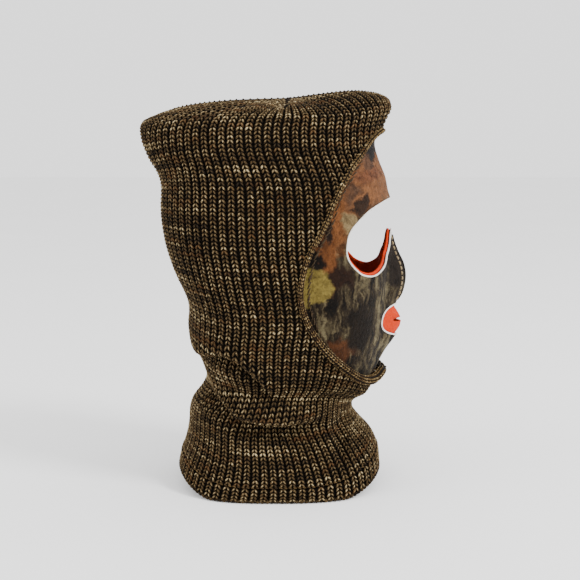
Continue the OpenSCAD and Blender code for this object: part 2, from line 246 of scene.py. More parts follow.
def place_on_front(x, z, depth):
    """Row and angle of points given by their width and height on the front."""
    def height(s):
        row = spline(STATIONS, s)
        return on_row(row, angle_at_x(row, x, depth), depth)[..., 2]
    s = bisect_rows(height, z)
    return np.stack([s, angle_at_x(spline(STATIONS, s), x, depth)], -1)


EDGE_STEPS = 130
edge_curve = spline(FACE_EDGE, np.linspace(0, len(FACE_EDGE) - 1, EDGE_STEPS + 1))
edge_side = place_on_side(edge_curve[:, 0], edge_curve[:, 1])
edge_side[[0, -1], 1] = 180
# Once round the face opening: up the wearer's left and down the right, as rows and angles
edge_places = np.concatenate([edge_side, (edge_side * [1, -1] + [0, 360])[-2:0:-1]])


def reach_of(places):
    """How far out a place lies in the face opening: 0 in the middle, 1 on its edge."""
    def polar(p):
        rows, angles = np.moveaxis((p - FACE_CENTRE) * [ROW_MM, DEGREE_MM], -1, 0)
        return np.arctan2(rows, angles), np.hypot(rows, angles)

    rays, lengths = polar(edge_places)
    order = np.argsort(rays)
    ray, length = polar(places)
    return length / np.interp(ray, rays[order], lengths[order], period=2 * np.pi)


# ---------------------------------------------------------------- cloth as courses and wales


# Least height of the middle of a strand over the surface that the mask stands on
STRAND_CLEARANCE = 1.1


class Weave:
    """A cloth surface on a grid of courses (rows of stitches) and wales (columns of stitches)."""

    def __init__(self, points, per_course, per_wale, ring_courses=False):
        self.points, self.per_course, self.per_wale = points, per_course, per_wale
        self.ring_courses = ring_courses
        tall = np.pad(points, [(1, 1), (0, 0), (0, 0)], mode="wrap" if ring_courses else "edge")
        across = np.roll(points, -1, 1) - np.roll(points, 1, 1)
        self.normals = unit(np.cross(tall[2:] - tall[:-2], across))

    def sample(self, grid, course, wale):
        rows, columns = grid.shape[:2]
        i, j = course * self.per_course, wale * self.per_wale
        i = i % rows if self.ring_courses else np.clip(i, 0, rows - 1.001)
        i0, j0 = np.floor(i).astype(int), np.floor(j).astype(int)
        u, v = (i - i0)[..., None], (j - j0)[..., None]
        i1, j0, j1 = (i0 + 1) % rows, j0 % columns, (j0 + 1) % columns
        low = grid[i0, j0] * (1 - v) + grid[i0, j1] * v
        return low * (1 - u) + (grid[i1, j0] * (1 - v) + grid[i1, j1] * v) * u

    def at(self, course, wale, lift=0.0):
        lift = np.broadcast_to(lift, np.shape(course))[..., None]
        points = self.sample(self.points, course, wale) + self.sample(self.normals, course, wale) * lift
        points[..., 2] = np.maximum(points[..., 2], STRAND_CLEARANCE)
        return points


# Columns of stitches round the hood, and points of its grid for each column and each row of stitches
WALES, PER_WALE, PER_COURSE = 70, 8, 4
# Height of a row of stitches on the head and in the neck, and where the one turns into the other
HEAD_PITCH, NECK_PITCH, NECK_TOP_Z = 3.7, 3.15, 95
# First grid of the hood: rings for each station and over the crown
RINGS_PER_STATION, CROWN_RINGS = 12, 48
# Rings on each side of the shoulder that are rounded over, and how often
SHOULDER_RINGS, SHOULDER_PASSES = 14, 40
# Stations up to which the neck is rounded over after it is folded, and how often
NECK_STATIONS, NECK_PASSES = 14, 14

# Folds of the slack neck: points along the lip of each, as place from front to back (Y), height and how
# deep the cloth sinks below it; then the height of the sunken cloth
FOLDS = [
    (np.array([
        [-75, 90, 0], [-45, 91, 2], [-10, 92, 2], [3, 95, 4], [12, 108, 7], [30, 124, 9], [45, 130, 9],
        [66, 125, 6],
    ], float), 13),
    (np.array([
        [-50, 71, 0], [-30, 70, 8], [-9, 69, 14], [13, 71, 15], [33, 75, 14], [47, 86, 10], [62, 100, 4],
    ], float), 22),
]
# Folds are full only this far out from the middle of the neck
FOLD_HALF_W = 38
# The crease behind the front lip of the hem: its place from front to back, half width and depth, and its
# lowest and highest point
LIP_CREASE = (-63, 10, 10, 10, 96)
# Least height of the knit's outer face
HEM_CLEARANCE = 1.8


def neck_detail(p):
    """Folds of the slack neck that are finer than the stations: a full lip over sunken cloth."""
    p = p.copy()
    for lip, height in FOLDS:
        order = np.argsort(lip[:, 0])
        y = p[..., 1]
        level = np.interp(y, lip[order, 0], lip[order, 1])
        depth = np.interp(y, lip[order, 0], lip[order, 2])
        depth = depth * np.clip(np.abs(p[..., 0]) / FOLD_HALF_W, 0, 1) ** 2
        below = (level - p[..., 2]) / height
        sink = np.clip(below / 0.22, 0, 1) * np.where(below > 0.22, bell((below - 0.22) / 1.1), 1)
        lift = bell((below + 0.28) / 0.6)
        p -= unit(p * [1, 1, 0]) * (depth * (sink - 0.2 * lift))[..., None]
        p[..., 2] -= depth * 0.55 * lift
    y, half, depth, low, high = LIP_CREASE
    sink = depth * bell((p[..., 1] - y) / half) * bell((2 * p[..., 2] - low - high) / (high - low))
    p[..., 0] -= np.sign(p[..., 0]) * np.minimum(sink, np.abs(p[..., 0]))
    p[..., 2] = np.maximum(p[..., 2], HEM_CLEARANCE)
    return p


def smooth_rows(points, first, last, passes):
    """Rounds the cloth over between two rings of the grid."""
    for _ in range(passes):
        below, above = points[first - 1:last - 1], points[first + 1:last + 1]
        points[first:last] = (below + 2 * points[first:last] + above) / 4
    return points


def make_hood_weave():
    """The hood as one grid from the hem to the seams of the crown, with even stitches."""
    fine_a = np.linspace(0, 360, 1441)
    shares = np.arange(WALES * PER_WALE) / (WALES * PER_WALE)
    shoulder = TOP_ROW * RINGS_PER_STATION
    wall_rows = np.linspace(0, TOP_ROW, shoulder + 1)
    rings = wall(wall_rows[:, None], fine_a[None])
    arc = np.concatenate([
        np.zeros((len(rings), 1)),
        np.cumsum(np.linalg.norm(np.diff(rings, axis=1), axis=-1), axis=1),
    ], axis=1)
    angles = np.array([np.interp(shares, length / length[-1], fine_a) for length in arc])
    points = wall(wall_rows[:, None], angles)
    top_angles = angles[-1]
    crown_steps = np.linspace(0, CROWN_END, CROWN_RINGS + 1)[1:]
    steps, crown_angles = np.meshgrid(crown_steps, top_angles, indexing="ij")
    points = np.concatenate([points, crown(steps, crown_angles)])
    rows = np.concatenate([wall_rows, TOP_ROW + crown_steps])
    angles = np.concatenate([angles, crown_angles])
    points = smooth_rows(points, shoulder - SHOULDER_RINGS, shoulder + SHOULDER_RINGS, SHOULDER_PASSES)
    points = smooth_rows(neck_detail(points), 2, NECK_STATIONS * RINGS_PER_STATION, NECK_PASSES)
    step = np.linalg.norm(np.diff(points, axis=0), axis=-1).mean(1)
    height = points[1:, :, 2].mean(1)
    share = np.clip((height - NECK_TOP_Z) / 20 + 0.5, 0, 1)
    course = np.concatenate([[0], np.cumsum(step / (NECK_PITCH + (HEAD_PITCH - NECK_PITCH) * share))])
    count = int(course[-1])
    wanted = np.arange(count * PER_COURSE + 1) / PER_COURSE * course[-1] / count

    def along(grid):
        flat = grid.reshape(len(course), -1)
        even = np.stack([np.interp(wanted, course, column) for column in flat.T], -1)
        return even.reshape((len(wanted),) + grid.shape[1:])

    weave = Weave(along(points), PER_COURSE, PER_WALE)
    weave.count = count
    weave.rows = np.interp(wanted, course, rows)
    weave.angles = along(angles)
    return weave


hood = make_hood_weave()
# Station row and course at which the turned hem ends
HEM_ROW = 0.7
hem_course = int(np.searchsorted(hood.rows, HEM_ROW) / PER_COURSE) + 1


def hood_places(course, wale):
    """Station row and angle of stitches, to tell which lie in the face opening."""
    rows = np.interp(course * PER_COURSE, np.arange(len(hood.rows)), hood.rows)
    angles = hood.angles[
        np.clip(np.round(course * PER_COURSE).astype(int), 0, len(hood.rows) - 1),
        np.round(wale * PER_WALE).astype(int) % (WALES * PER_WALE),
    ]
    return np.stack([rows, angles], -1)


# ---------------------------------------------------------------- meshes


NO_TRIANGLES = np.zeros((0, 3), int)


def add_arrays(name, points, quads, triangles, material, attributes=()):
    """A mesh object from points in millimetres; attributes are (name, one number for each point)."""
    mesh = bpy.data.meshes.new(name)
    loops = np.concatenate([quads.ravel(), triangles.ravel()]).astype(np.int32)
    starts = np.concatenate([np.arange(len(quads)) * 4, len(quads) * 4 + np.arange(len(triangles)) * 3])
    mesh.vertices.add(len(points))
    mesh.vertices.foreach_set("co", (np.asarray(points) * MM).astype(np.float32).ravel())
    mesh.loops.add(len(loops))
    mesh.loops.foreach_set("vertex_index", loops)
    mesh.polygons.add(len(starts))
    mesh.polygons.foreach_set("loop_start", starts.astype(np.int32))
    mesh.update(calc_edges=True)
    mesh.polygons.foreach_set("use_smooth", [True] * len(mesh.polygons))
    for label, values in attributes:
        layer = mesh.attributes.new(label, "FLOAT", "POINT")
        layer.data.foreach_set("value", np.asarray(values, np.float32))
    mesh.materials.append(material)
    mesh.validate()
    piece = bpy.data.objects.new(name, mesh)
    bpy.context.scene.collection.objects.link(piece)
    return piece


# Corners round a strand of yarn and round a thread
STRAND_SIDES, THREAD_SIDES = 5, 6


def ring_turns(sides):
    """Angles of the corners of a ring, from its top."""
    return 2 * np.pi * np.arange(sides) / sides + np.pi / 2


def strands(centres, normals, radii, sides=STRAND_SIDES):
    """Closed strands of yarn. centres and normals are (strand, ring, 3), radii (ring) or (strand, ring).
    Returns points, quads and triangles."""
    count, rings = centres.shape[:2]
    along = unit(np.gradient(centres, axis=1))
    side = unit(np.cross(along, normals))
    up = np.cross(side, along)
    turn = ring_turns(sides)
    radii = np.broadcast_to(radii, (count, rings))[..., None, None]
    circle = np.cos(turn)[:, None] * side[:, :, None] + np.sin(turn)[:, None] * up[:, :, None]
    points = (centres[:, :, None] + radii * circle).reshape(-1, 3)
    first = (np.arange(count) * rings * sides)[:, None, None]
    ring = (np.arange(rings - 1) * sides)[None, :, None]
    here, after = np.arange(sides), (np.arange(sides) + 1) % sides
    base = first + ring
    quads = np.stack([base + here, base + after, base + after + sides, base + here + sides], -1)
    fan = np.array([[0, k + 1, k] for k in range(1, sides - 1)])
    low, high = first + fan, first + (rings - 1) * sides + fan[:, ::-1]
    return points, quads.reshape(-1, 4), np.concatenate([low, high]).reshape(-1, 3)


# One leg of a stitch from its foot to its head: share of a wale from the middle, share of a
# course from the stitch's own, height over the cloth and radius in millimetres
LEG = np.array([
    [0.345, -0.58, -2.1, 0.7],
    [0.305, -0.36, -0.8, 0.92],
    [0.24, -0.08, 0.0, 1.0],
    [0.165, 0.17, 0.1, 1.0],
    [0.085, 0.38, -0.5, 0.92],
    [0.035, 0.56, -1.7, 0.7],
])


def yarn_tones(course, wale):
    """Light and dark of the melange yarn: it drifts along each course and from leg to leg."""
    c, w = course.astype(int), wale.astype(int)
    drift = RNG.normal(size=(c.max() + 2, w.max() + 2))
    drift = (drift + np.roll(drift, 1, 1) + np.roll(drift, 2, 1)) / math.sqrt(3)
    band = RNG.normal(size=c.max() + 2)
    tone = 0.5 + (0.05 * drift[c, w] + 0.04 * band[c])
    return tone, drift[::-1, ::-1][c, w]


def stitches(name, weave, course, wale, material, lift=0.0, size=1.0):
    """Two legs of yarn for each stitch, which lean together at the top like a caret."""
    tone, warmth = yarn_tones(course, wale)
    legs, tones, warmths = [], [], []
    for side in (-1, 1):
        jitter = RNG.normal(scale=0.015, size=(len(course), 1))
        w = wale[:, None] + side * LEG[:, 0] + jitter
        c = course[:, None] + LEG[:, 1] + RNG.normal(scale=0.03, size=(len(course), 1))
        legs.append((c, w))
        tones.append(tone + RNG.normal(scale=0.045, size=len(course)))
        warmths.append(warmth)
    c, w = (np.concatenate(parts) for parts in zip(*legs))
    scale = size * (1 + RNG.normal(scale=0.05, size=(len(c), 1)))
    centres = weave.at(c, w, lift + LEG[:, 2] * size)
    normals = weave.sample(weave.normals, c, w)
    points, quads, triangles = strands(centres, normals, LEG[:, 3] * scale)
    per_leg = len(points) // len(c)
    # Painted light and shade: each leg is lighter at its crest and along the top of its strand, darker where
    # it dips into the cloth.
    crest_painted_shading = np.interp(LEG[:, 2], [-1.8, 0.2], [0, 1])[:, None]
    crest_painted_shading = crest_painted_shading * (0.55 + 0.45 * np.sin(ring_turns(STRAND_SIDES)))
    return add_arrays(name, points, quads, triangles, material, [
        ("tone", np.repeat(np.concatenate(tones), per_leg)),
        ("warmth", np.repeat(np.concatenate(warmths), per_leg)),
        ("crest_painted_shading", np.tile(crest_painted_shading.ravel(), len(c))),
    ])


def plain_yarn(tone, crest_painted_shading):
    """Attributes of yarn without warmth and with one even level of painted light and shade on the crest."""
    return [("tone", tone), ("warmth", 0 * tone), ("crest_painted_shading", 0 * tone + crest_painted_shading)]


def loop_tangents(path):
    """Directions along a closed path."""
    return unit(np.roll(path, -1, 0) - np.roll(path, 1, 0))


def loop_quads(rings, sides):
    """Quads of a closed loop of rings."""
    i, j = np.meshgrid(np.arange(rings), np.arange(sides), indexing="ij")
    k, l = (i + 1) % rings, (j + 1) % sides
    return np.stack([i * sides + j, i * sides + l, k * sides + l, k * sides + j], -1).reshape(-1, 4)


def edge_walls(faces, n):
    """Quads that close a cloth round its open edges. Its inner face has the next n points."""
    corners = faces.shape[1]
    edges = np.concatenate([faces[:, [k, (k + 1) % corners]] for k in range(corners)]).tolist()
    known = {tuple(edge) for edge in edges}
    rim = np.array([edge for edge in edges if (edge[1], edge[0]) not in known])
    return np.stack([rim[:, 1], rim[:, 0], rim[:, 0] + n, rim[:, 1] + n], -1)


def tube(name, path, radii, outward, flatten, sides, material):
    """A closed ring of cord along a closed path, made higher or lower along its outward directions."""
    along = loop_tangents(path)
    side = unit(np.cross(along, outward))[:, None]
    up = np.cross(side, along[:, None])
    turn = (2 * np.pi * np.arange(sides) / sides)[:, None]
    rings = path[:, None] + radii[:, None, None] * (np.cos(turn) * side + flatten * np.sin(turn) * up)
    return add_arrays(name, rings.reshape(-1, 3), loop_quads(len(path), sides), NO_TRIANGLES, material)


# ---------------------------------------------------------------- materials


def srgb(r, g, b):
    def linear(v):
        v /= 255
        return v / 12.92 if v <= 0.04045 else ((v + 0.055) / 1.055) ** 2.4
    return (linear(r), linear(g), linear(b), 1)


class Shader:
    """A new material with short ways to add and join its nodes."""

    def __init__(self, name, roughness, sheen=0.0, sheen_roughness=0.5, specular=0.5):
        self.material = bpy.data.materials.new(name)
        self.material.use_nodes = True
        self.tree = self.material.node_tree
        self.shader = self.tree.nodes["Principled BSDF"]
        self.shader.inputs["Roughness"].default_value = roughness
        self.shader.inputs["Sheen Weight"].default_value = sheen
        self.shader.inputs["Sheen Roughness"].default_value = sheen_roughness
        self.shader.inputs["Specular IOR Level"].default_value = specular
        self.place = self.tree.nodes.new("ShaderNodeTexCoord").outputs["Object"]

    def node(self, kind, inputs=(), **settings):
        node = self.tree.nodes.new(kind)
        for key, value in settings.items():
            setattr(node, key, value)
        for key, value in dict(inputs).items():
            if isinstance(value, bpy.types.NodeSocket):
                self.tree.links.new(value, node.inputs[key])
            else:
                node.inputs[key].default_value = value
        return node

    def noise(self, scale, detail=2.0, roughness=0.5, place=None):
        inputs = {"Vector": place or self.place, "Scale": scale, "Detail": detail, "Roughness": roughness}
        return self.node("ShaderNodeTexNoise", inputs).outputs["Fac"]

    def stretch(self, x, y, z, place=None):
        return self.node("ShaderNodeMapping", {"Vector": place or self.place, "Scale": (x, y, z)}).outputs[0]

    def math(self, operation, a, b=0.0):
        return self.node("ShaderNodeMath", {0: a, 1: b}, operation=operation).outputs[0]

    def between(self, value, low, high):
        return self.node("ShaderNodeMapRange", {
            "Value": value, "From Min": low, "From Max": high,
        }, interpolation_type="SMOOTHSTEP").outputs[0]

    def mix(self, share, a, b, blend="MIX"):
        inputs = {0: share, 6: a, 7: b}
        return self.node("ShaderNodeMix", inputs, data_type="RGBA", blend_type=blend).outputs[2]

    def attribute(self, name):
        return self.node("ShaderNodeAttribute", attribute_name=name).outputs["Fac"]

    def ramp(self, value, *stops):
        node = self.node("ShaderNodeValToRGB", {"Fac": value})
        elements = node.color_ramp.elements
        while len(elements) < len(stops):
            elements.new(1.0)
        for element, (at, colour) in zip(elements, stops):
            element.position, element.color = at, colour
        return node.outputs["Color"]

    def bump(self, height, depth, normal=None):
        inputs = {"Height": height, "Distance": depth, "Strength": 1.0}
        if normal:
            inputs["Normal"] = normal
        return self.node("ShaderNodeBump", inputs).outputs["Normal"]

    def finish(self, colour, normal):
        self.tree.links.new(colour, self.shader.inputs["Base Color"])
        self.tree.links.new(normal, self.shader.inputs["Normal"])
        return self.material


def yarn_material(name, dark, middle, light):
    """Melange yarn: each leg has its own tone, flecked with lighter and darker fibres."""
    s = Shader(name, 0.85, specular=0.12)
    flecks = s.noise(700, 3, 0.65)
    fibres = s.noise(2600, 2, 0.6)
    tone = s.math("ADD", s.attribute("tone"), s.math("MULTIPLY", s.math("SUBTRACT", flecks, 0.5), 0.75))
    # Painted light and shade: lighter at the crests and tops of the legs, darker where they dip into the
    # cloth.
    tone = s.math("ADD", tone, s.math("MULTIPLY", s.math("SUBTRACT", s.attribute("crest_painted_shading"), 0.72), 0.85))
    colour = s.ramp(tone, (0.3, dark), (0.62, middle), (1.0, light))
    warm = s.between(s.attribute("warmth"), 0.6, 2.4)
    colour = s.mix(s.math("MULTIPLY", warm, 0.35), colour, srgb(92, 60, 32))
    colour = s.mix(1.0, colour, s.math("ADD", fibres, 0.55), "MULTIPLY")
    normal = s.bump(fibres, 0.0006, s.bump(flecks, 0.0008))
    return s.finish(colour, normal)


def painted_shade_ground_material():
    """The recessed purl side between the wales: yarn seen end on, painted near black as painted shade in the
    deep gaps.
    """
    s = Shader("knit_ground_painted_shade", 0.9, specular=0.1)
    loops = s.noise(330, 3, 0.6, s.stretch(1, 1, 1.6))
    colour = s.ramp(loops, (0.3, srgb(6, 4, 2)), (0.55, srgb(16, 11, 6)), (0.8, srgb(44, 34, 20)))
    return s.finish(colour, s.bump(loops, 0.0022, s.bump(s.noise(1500, 2), 0.0006)))


def fleece_bump(s):
    """Brushed pile and its clumps, and the bump of both."""
    pile = s.noise(1900, 3, 0.7)
    clumps = s.noise(420, 3, 0.6)
    return pile, clumps, s.bump(pile, 0.0007, s.bump(clumps, 0.0012))


# Soft patches of the print: place from front to back (Y) and height of the middle, half sizes along
# both, softness, colour
PATCHES = [
    (-78, 285, 38, 36, 0.5, (130, 86, 54)),
    (-66, 268, 7, 12, 0.9, (84, 60, 44)),
    (-84, 300, 5, 16, 0.9, (94, 66, 48)),
    (-52, 247, 17, 32, 0.5, (124, 78, 44)),
    (-46, 210, 11, 26, 0.5, (112, 68, 36)),
    (-88, 318, 9, 20, 0.3, (34, 30, 28)),
    (-67, 244, 6, 9, 0.6, (134, 114, 80)),
    (-79, 256, 6, 10, 0.5, (52, 36, 26)),
    (-84, 284, 12, 6, 0.8, (112, 70, 46)),
    (-30, 216, 12, 24, 0.4, (20, 15, 11)),
    (-45, 236, 5, 12, 0.6, (40, 28, 20)),
    (-58, 196, 14, 14, 0.6, (40, 24, 15)),
    (-31, 188, 18, 17, 0.25, (126, 110, 54)),
    (-56, 130, 20, 11, 0.7, (80, 48, 26)),
    (-78, 150, 14, 20, 0.7, (30, 23, 16)),
    (-112, 206, 15, 26, 0.9, (40, 33, 28)),
]


def camo_material():
    """A printed woodland pattern of bark streaks with rust, olive and charcoal patches."""
    s = Shader("camo_fleece", 0.95, sheen=0.04, sheen_roughness=0.4, specular=0.1)
    wobble = s.node("ShaderNodeTexNoise", {"Vector": s.place, "Scale": 55.0, "Detail": 4.0, "Roughness": 0.6})
    halves = {0: wobble.outputs["Color"], 1: (0.5, 0.5, 0.5)}
    shift = s.node("ShaderNodeVectorMath", halves, operation="SUBTRACT")

    def displaced(amount):
        moved = s.node("ShaderNodeVectorMath", {0: shift.outputs[0], "Scale": amount}, operation="SCALE")
        return s.node("ShaderNodeVectorMath", {0: s.place, 1: moved.outputs[0]}, operation="ADD").outputs[0]

    place = displaced(0.03)
    parts = s.node("ShaderNodeSeparateXYZ", {0: place})
    y, z = parts.outputs["Y"], parts.outputs["Z"]
    streaks = s.noise(1.0, 5, 0.6, s.stretch(140, 140, 22, displaced(0.016)))
    colour = s.ramp(
        streaks, (0.4, srgb(16, 12, 8)), (0.48, srgb(44, 35, 24)), (0.54, srgb(80, 70, 50)),
        (0.64, srgb(118, 108, 80)),
    )
    for forward, height, half_y, half_z, soft, rgb in PATCHES:
        away_y = s.math("DIVIDE", s.math("SUBTRACT", y, forward * MM), half_y * MM)
        away_z = s.math("DIVIDE", s.math("SUBTRACT", z, height * MM), half_z * MM)
        squares = s.math("MULTIPLY", away_y, away_y), s.math("MULTIPLY", away_z, away_z)
        away = s.math("SQRT", s.math("ADD", *squares))
        colour = s.mix(s.between(away, 1 + soft / 2, 1 - soft / 2), colour, srgb(*rgb))
    white = srgb(255, 255, 255)
    mottle = s.ramp(s.noise(160, 4, 0.65, place), (0.3, srgb(150, 145, 140)), (0.6, white))
    colour = s.mix(1.0, colour, mottle, "MULTIPLY")
    pile, clumps, normal = fleece_bump(s)
    # Painted shade in the pile: darker where the pile is deep.
    colour = s.mix(1.0, colour, s.ramp(pile, (0.25, srgb(170, 165, 160)), (0.7, white)), "MULTIPLY")
    return s.finish(colour, normal)


def plain_fleece_material(name, dark, light):
    """Brushed fleece or thread of one colour, painted darker where the pile is deep: painted shade in the
    pile.
    """
    s = Shader(name, 0.95, sheen=0.04, sheen_roughness=0.5, specular=0.15)
    pile, clumps, normal = fleece_bump(s)
    depth = s.math("ADD", s.math("MULTIPLY", pile, 0.5), s.math("MULTIPLY", clumps, 0.5))
    return s.finish(s.ramp(depth, (0.35, dark), (0.6, light)), normal)


YARN = yarn_material("melange_yarn", srgb(18, 12, 6), srgb(78, 61, 36), srgb(204, 186, 144))
# A lighter copy of the melange yarn: painted light, for the rolled edge of the face opening and the hem seam.
EDGE_YARN_PAINTED_LIGHT = yarn_material("edge_yarn_painted_light", srgb(30, 20, 10), srgb(106, 84, 50), srgb(222, 204, 158))
SEAM_YARN = yarn_material("seam_yarn", srgb(18, 12, 8), srgb(48, 36, 22), srgb(110, 90, 60))
# Near-black painted shade, also used for the rolled edge's core and the crown's turned edges.
GROUND_PAINTED_SHADE = painted_shade_ground_material()
CAMO = camo_material()
ORANGE = plain_fleece_material("orange_fleece", srgb(178, 40, 0), srgb(202, 52, 0))
WHITE = plain_fleece_material("cut_edge", srgb(206, 200, 190), srgb(250, 248, 244))
THREAD = plain_fleece_material("topstitch_thread", srgb(92, 76, 52), srgb(158, 138, 104))

# ---------------------------------------------------------------- knit hood and hem

# The stitches lie a little inside the hood's outer face, because their crests stand up from it
STITCH_LIFT = -0.7
# Stitches and the ground under them reach this far over the edge of the face opening, as shares of it
STITCH_EDGE, GROUND_EDGE = 0.97, 0.985


def piece(obj, slot, *nodes):
    """Rides on the mask and stands for its CAD nodes. The slot is not used."""
    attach(obj, "root")
    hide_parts(*nodes)
    return obj


def rib_depth(wale):
    """How deep the ground lies under a stitch: shallow under a wale, deep between two."""
    return 1.3 + 1.3 * (0.5 - 0.5 * np.cos(2 * np.pi * wale))


def knit_ground_painted_shade(name, courses, lift):
    """The cloth under the stitches, from its outer ground to its inner face, open where the face is."""
    c, w = np.meshgrid(courses, np.arange(WALES * 4) / 4, indexing="ij")
    outer = hood.at(c, w, lift - rib_depth(w))
    inner = hood.at(c, w, -KNIT_T - lift + 0.6 * np.cos(2 * np.pi * w))
    places = hood_places(c, w)
    inside = (reach_of(places) < GROUND_EDGE) & (places[..., 0] > LOWEST_FACE_ROW)
    index = np.arange(c.size).reshape(c.shape)
    a, b = index[:-1], np.roll(index, -1, 1)[:-1]
    d, e = index[1:], np.roll(index, -1, 1)[1:]
    hole = inside[:-1] & np.roll(inside, -1, 1)[:-1] & inside[1:] & np.roll(inside, -1, 1)[1:]
    quads = np.stack([a, b, e, d], -1)[~hole]
    points = np.concatenate([outer.reshape(-1, 3), inner.reshape(-1, 3)])
    quads = np.concatenate([quads, quads[:, ::-1] + c.size, edge_walls(quads, c.size)])
    used, quads = np.unique(quads, return_inverse=True)
    # The whole sheet is coloured with the near-black painted shade.
    return add_arrays(name, points[used], quads.reshape(-1, 4), NO_TRIANGLES, GROUND_PAINTED_SHADE)


hood_courses = np.arange(hem_course, hood.count + 0.01)
piece(knit_ground_painted_shade("hood_ground", hood_courses, STITCH_LIFT), "rib_knit", "hood_knit")


def hood_stitches():
    course, wale = np.meshgrid(np.arange(hem_course + 1, hood.count), np.arange(WALES), indexing="ij")
    course, wale = course.ravel().astype(float), wale.ravel().astype(float)
    places = hood_places(course, wale)
    keep = (reach_of(places) > STITCH_EDGE) | (places[:, 0] < LOWEST_FACE_ROW)
    course, wale = course[keep], wale[keep]
    sectors = ("back_left", "side_left", "front_left", "front_right", "side_right", "back_right")
    sector = (wale * len(sectors) // WALES).astype(int)
    for number, side in enumerate(sectors):
        mine = sector == number
        knit = stitches("stitches_" + side, hood, course[mine], wale[mine], YARN, STITCH_LIFT)
        piece(knit, "rib_knit", "hood_knit")


hood_stitches()

# ---------------------------------------------------------------- rolled edge of the face opening

EDGE_COUNT = len(edge_places)
# The cord of the rolled edge under its stitches: radius beside the face and under the chin
SIDE_CORD_R, CHIN_CORD_R = 1.65, 3.8
# Points round the cord, stitches round it, and their height, size and lift
CORD_SIDES, CORD_WALES, CORD_PITCH, CORD_STITCH, CORD_LIFT = 24, 4, 2.9, 0.6, 0.4


def edge_point(share, depth):
    """Points once round the face opening, at a share of the way out and a depth."""
    places = FACE_CENTRE + (edge_places - FACE_CENTRE) * share
    return face(places[:, 0], places[:, 1], depth)


def outward(points):
    """Directions away from the axis of the head, for points on the face."""
    return unit(points * [1, 1, 0] + [0, 25, 0])


def make_edge_roll():
    step = np.arange(EDGE_COUNT)
    share = np.maximum(0, np.cos(np.pi * np.minimum(step, EDGE_COUNT - step) / EDGE_STEPS)) ** 2
    radii = SIDE_CORD_R + (CHIN_CORD_R - SIDE_CORD_R) * share
    reach = 1 - (radii + 0.6) / FACE_RADIUS
    path = edge_point(reach[:, None], 1.2 - radii)
    along = loop_tangents(path)
    side = unit(np.cross(outward(path), along))
    up = np.cross(along, side)
    turn = 2 * np.pi * np.arange(CORD_SIDES) / CORD_SIDES
    ring = np.cos(turn)[:, None] * up[:, None] + np.sin(turn)[:, None] * side[:, None]
    grid = path[:, None] + ring * radii[:, None, None]
    length = np.linalg.norm(np.roll(path, -1, 0) - path, axis=-1).sum()
    courses = int(length / CORD_PITCH)
    roll = Weave(grid, EDGE_COUNT / courses, CORD_SIDES / CORD_WALES, ring_courses=True)
    quads = loop_quads(EDGE_COUNT, CORD_SIDES)[:, ::-1]
    # The core is coloured with the near-black painted shade of the knit ground.
    core = add_arrays("edge_roll_core", grid.reshape(-1, 3), quads, NO_TRIANGLES, GROUND_PAINTED_SHADE)
    piece(core, "edge_knit", "face_edge_roll")
    c, w = np.meshgrid(np.arange(courses), np.arange(CORD_WALES), indexing="ij")
    c, w = c.ravel().astype(float), w.ravel().astype(float)
    knit = stitches("edge_roll_stitches", roll, c, w, EDGE_YARN_PAINTED_LIGHT, CORD_LIFT, CORD_STITCH)
    piece(knit, "edge_knit", "face_edge_roll")


make_edge_roll()

# ---------------------------------------------------------------- fleece panel, lining and cut edges


def closed_curve(points, steps):
    """Smooth closed curve through points."""
    n = len(points)
    s = np.arange(n * steps) / steps
    looped = np.concatenate([points[-1:], points, points[:3]])
    return spline(looped, s + 1)


def offset_outline(outline, distance):
    """The outline moved outwards by a distance."""
    along = loop_tangents(outline)
    normal = np.stack([along[:, 1], -along[:, 0]], -1)
    after = np.roll(outline, -1, 0)
    area = (outline[:, 0] * after[:, 1] - after[:, 0] * outline[:, 1]).sum()
    return outline + normal * distance * np.sign(area)


def eye_outline():
    """The goggle shape: from the nose's tongue under the wearer's left eye, round it and over both eyes."""
    w, top, low, tongue = EYE_HALF_W, EYE_TOP_Z, EYE_LOW_Z, TONGUE_Z
    side = np.array([
        [0, tongue], [7, tongue - 3], [10.5, tongue - 13], [14, low + 18], [22, low + 9], [33, low + 3],
        [43, low], [52, low + 2], [0.93 * w, low + 8], [0.985 * w, low + 16], [w, low + 26],
        [0.98 * w, low + 38], [0.91 * w, top - 18], [0.78 * w, top - 9], [36, top - 3.5], [20, top - 0.5],
        [0, top],
    ], float)
    return closed_curve(np.concatenate([side, (side * [-1, 1])[-2:0:-1]]), 5)


def ellipse(half_w, half_h, count=72):
    turn = 2 * np.pi * np.arange(count) / count
    return np.stack([half_w * np.cos(turn), MOUTH_Z + half_h * np.sin(turn)], -1)


EYE = eye_outline()
MOUTH = ellipse(MOUTH_HALF_W, MOUTH_HALF_H)
# The lining stands into the eye opening at its outer and lower edges
LINING_EYE = EYE.copy()
LINING_EYE[:, 0] -= EYE_LINING_LIP * np.clip(EYE[:, 0] / 50, -1, 1)
LINING_EYE[:, 1] += EYE_LINING_LIP * np.clip((225 - EYE[:, 1]) / 15, 0, 1)
SLIT = ellipse(SLIT_HALF_W, SLIT_HALF_H, 56)


def inside_polygon(points, polygon):
    """Which points lie inside a polygon, by how many of its sides lie to the right of each."""
    x, y = points[:, 0, None], points[:, 1, None]
    x0, y0 = polygon[:, 0], polygon[:, 1]
    x1, y1 = np.roll(x0, -1), np.roll(y0, -1)
    crosses = (y0 > y) != (y1 > y)
    run = np.where(y1 == y0, 1, y1 - y0)
    return (crosses & (x < (x1 - x0) * (y - y0) / run + x0)).sum(1) % 2 == 1


# Millimetres of flat cloth for a row and for a degree
FLAT_SCALE = np.array([10.6, 1.55])


